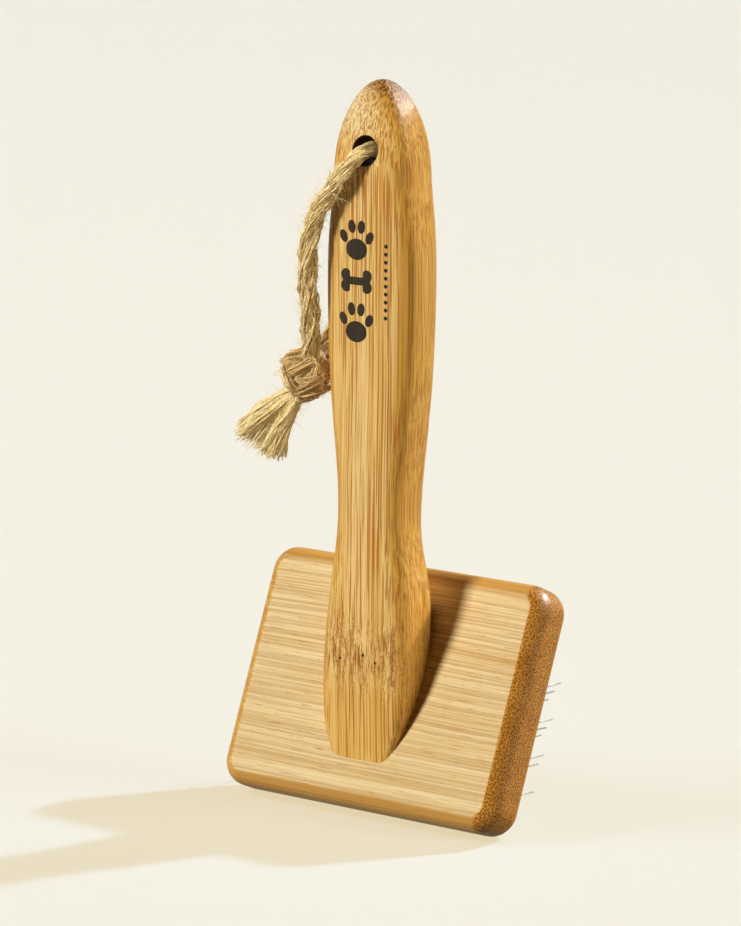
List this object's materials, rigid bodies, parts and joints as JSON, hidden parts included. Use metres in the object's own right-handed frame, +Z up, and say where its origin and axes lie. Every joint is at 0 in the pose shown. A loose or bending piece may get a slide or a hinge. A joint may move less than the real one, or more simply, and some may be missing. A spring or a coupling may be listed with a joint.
{
  "type": "slicker brush",
  "caption": "Rectangular bamboo slicker brush for pet coats: upright handle, leaning head, bent wire pins in a cushioned pad, and a knotted jute hanging loop.",
  "frame": {"origin": "on the surface that the brush stands on, under the middle of the brush without its cord", "axes": "+Z up, X along the head's width, +Y from the handle's side towards the pins, the head leaning back 24.2 degrees"},
  "size_m": [0.09, 0.0529, 0.1974],
  "materials": {
    "head_bamboo": "sanded and oiled bamboo board, fine grain along its width, end grain on its short sides",
    "handle_bamboo": "sanded and lacquered bamboo, fine grain along its length, with a dark printed mark",
    "screw_steel": "zinc-plated steel",
    "pin_steel": "drawn steel wire",
    "cushion_foam": "closed-cell foam rubber",
    "woven_cloth": "woven cotton backing of the pins",
    "facing_rubber": "matt natural rubber facing",
    "jute": "twisted hairy jute twine",
    "mark_ink": "matt charcoal printing ink on the handle"
  },
  "bodies": {
    "brush": {"head_board": "head_bamboo", "handle": "handle_bamboo", "handle_screws": "screw_steel", "pad_cushion": "cushion_foam", "pin_cloth": "woven_cloth", "pad_facing": "facing_rubber", "pin_row_01": "pin_steel", "pin_row_02": "pin_steel", "pin_row_03": "pin_steel", "pin_row_04": "pin_steel", "pin_row_05": "pin_steel", "pin_row_06": "pin_steel", "pin_row_07": "pin_steel", "pin_row_08": "pin_steel", "pin_row_09": "pin_steel", "pin_row_10": "pin_steel", "pin_row_11": "pin_steel", "pin_row_12": "pin_steel", "pin_row_13": "pin_steel", "pin_row_14": "pin_steel", "pin_row_15": "pin_steel", "pin_row_16": "pin_steel", "pin_row_17": "pin_steel", "pin_row_18": "pin_steel", "pin_row_19": "pin_steel", "pin_row_20": "pin_steel", "pin_row_21": "pin_steel", "pin_row_22": "pin_steel", "pin_row_23": "pin_steel"},
    "hanging_loop": {"loop_knot": "jute", "loop_front_leg": "jute", "loop_back_leg": "jute", "loop_outer_tail": "jute", "loop_inner_tail": "jute"}
  },
  "joints": [
    {"name": "loop_swing", "type": "hinge", "parent": "brush", "child": "hanging_loop", "pos_m": [0, -0.0115, 0.1793], "axis": [0, 1, 0], "range_deg": [0, 310]}
  ]
}
